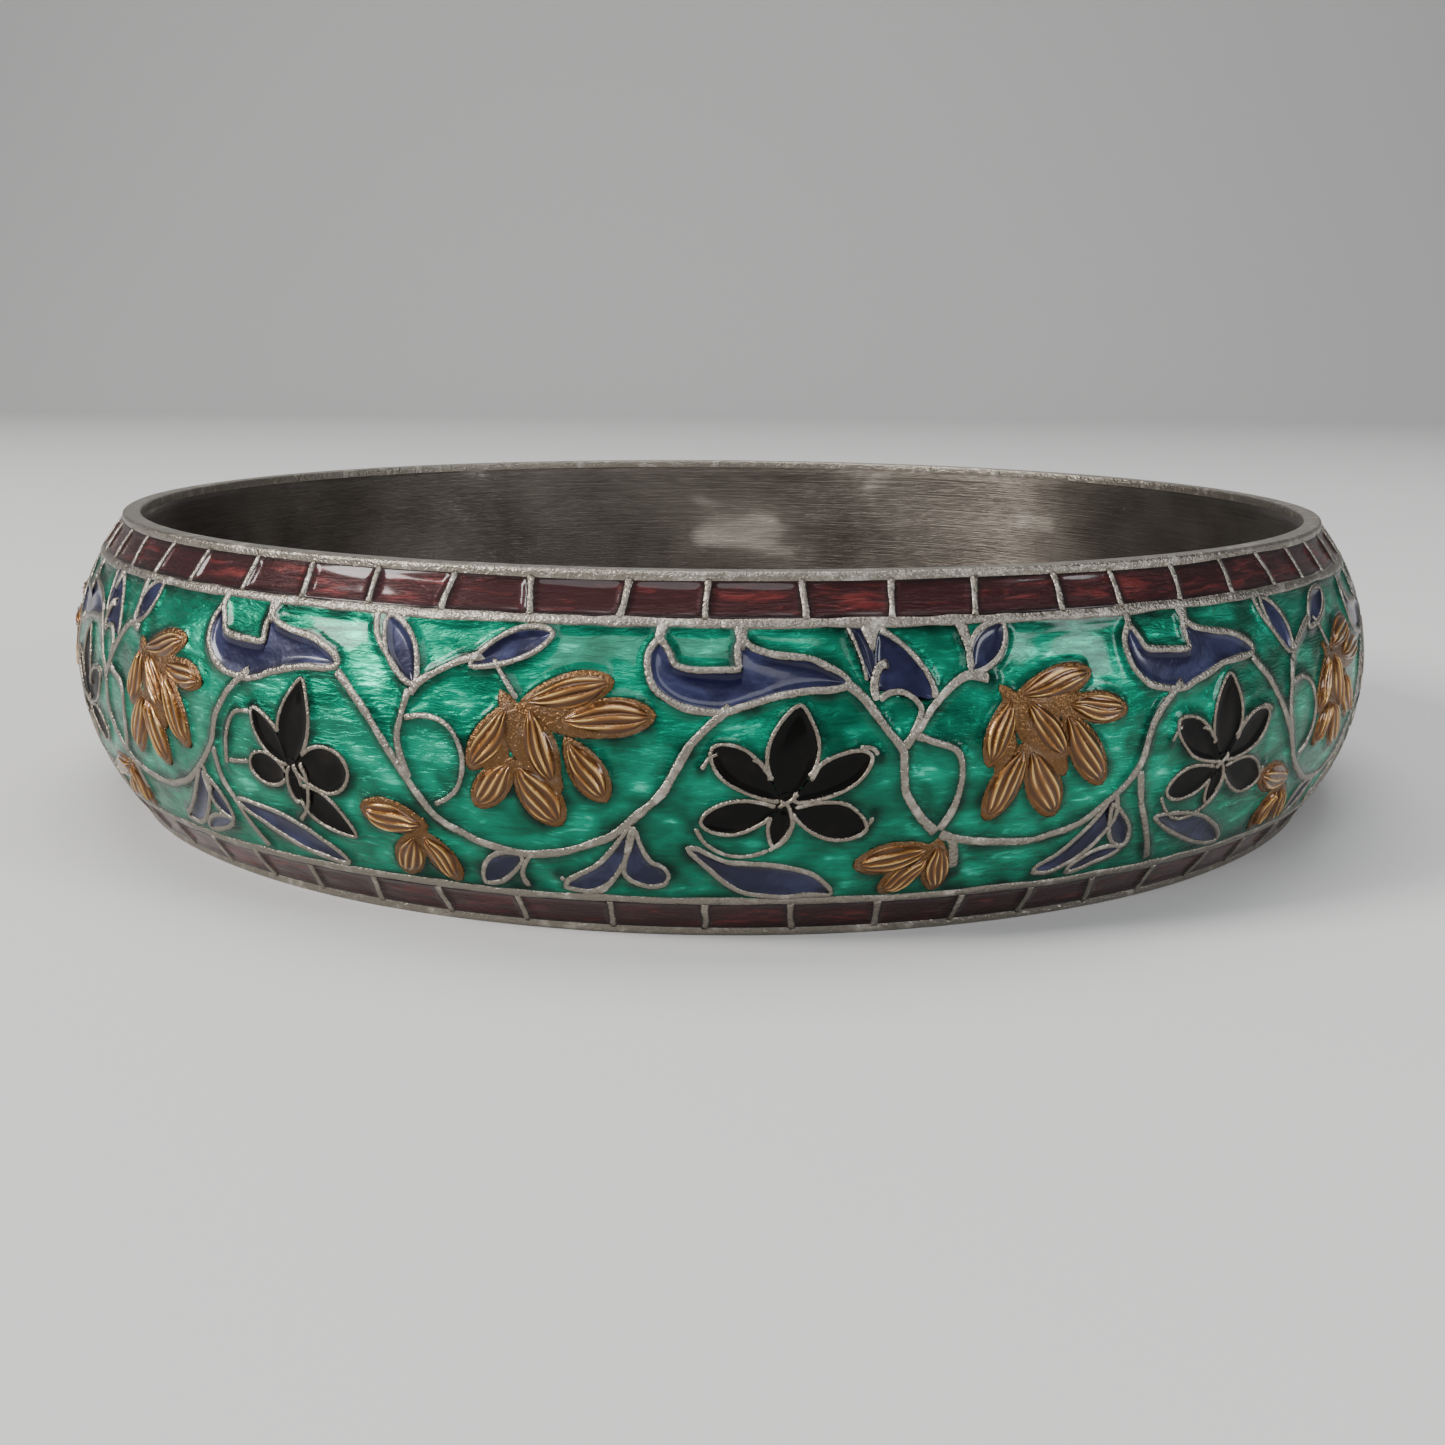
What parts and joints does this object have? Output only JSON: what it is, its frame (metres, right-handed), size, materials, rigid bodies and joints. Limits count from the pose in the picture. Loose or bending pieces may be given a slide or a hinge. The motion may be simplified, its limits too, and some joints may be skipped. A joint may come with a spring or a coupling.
{
  "type": "bangle bracelet",
  "caption": "Closed silver bangle with a plain inner face and a domed outer face of green enamel with blue, black and amber flower scrolls between maroon borders.",
  "frame": {"origin": "centre of the ring's axis in the plane of the bottom rim's face", "axes": "+Z along the ring's axis, from the bottom rim to the top rim; -Y towards the front of the pattern"},
  "size_m": [0.0667, 0.0667, 0.014],
  "materials": {
    "silver": "worn satin silver with a dull oxide in the hollows",
    "liner_silver": "polished by wear, fine scratches around the ring",
    "maroon_enamel": "glossy transparent enamel over silver",
    "green_enamel": "glossy transparent enamel over engraved silver",
    "blue_enamel": "glossy enamel",
    "black_enamel": "glossy enamel",
    "amber_enamel": "glossy transparent enamel over chased silver ribs"
  },
  "bodies": {
    "root": {"inner_liner": "liner_silver", "domed_shell": "silver", "top_rim": "silver", "bottom_rim": "silver", "top_border_wall": "silver", "bottom_border_wall": "silver", "top_bars": "silver", "bottom_bars": "silver", "top_maroon_cells": "maroon_enamel", "bottom_maroon_cells": "maroon_enamel", "black_flowers": "black_enamel", "scroll_walls_1": "silver", "scroll_walls_2": "silver", "scroll_walls_3": "silver", "scroll_walls_4": "silver", "scroll_walls_5": "silver", "scroll_walls_6": "silver", "scroll_walls_7": "silver", "scroll_walls_8": "silver", "scroll_walls_9": "silver", "scroll_walls_10": "silver", "scroll_walls_11": "silver", "green_ground_1": "green_enamel", "green_ground_2": "green_enamel", "green_ground_3": "green_enamel", "green_ground_4": "green_enamel", "green_ground_5": "green_enamel", "green_ground_6": "green_enamel", "green_ground_7": "green_enamel", "green_ground_8": "green_enamel", "green_ground_9": "green_enamel", "green_ground_10": "green_enamel", "green_ground_11": "green_enamel", "blue_leaves_1": "blue_enamel", "blue_leaves_2": "blue_enamel", "blue_leaves_3": "blue_enamel", "blue_leaves_4": "blue_enamel", "blue_leaves_5": "blue_enamel", "blue_leaves_6": "blue_enamel", "blue_leaves_7": "blue_enamel", "blue_leaves_8": "blue_enamel", "blue_leaves_9": "blue_enamel", "blue_leaves_10": "blue_enamel", "blue_leaves_11": "blue_enamel", "amber_leaves_1": "amber_enamel", "amber_leaves_2": "amber_enamel", "amber_leaves_3": "amber_enamel", "amber_leaves_4": "amber_enamel", "amber_leaves_5": "amber_enamel", "amber_leaves_6": "amber_enamel", "amber_leaves_7": "amber_enamel", "amber_leaves_8": "amber_enamel", "amber_leaves_9": "amber_enamel", "amber_leaves_10": "amber_enamel", "amber_leaves_11": "amber_enamel"}
  },
  "joints": []
}
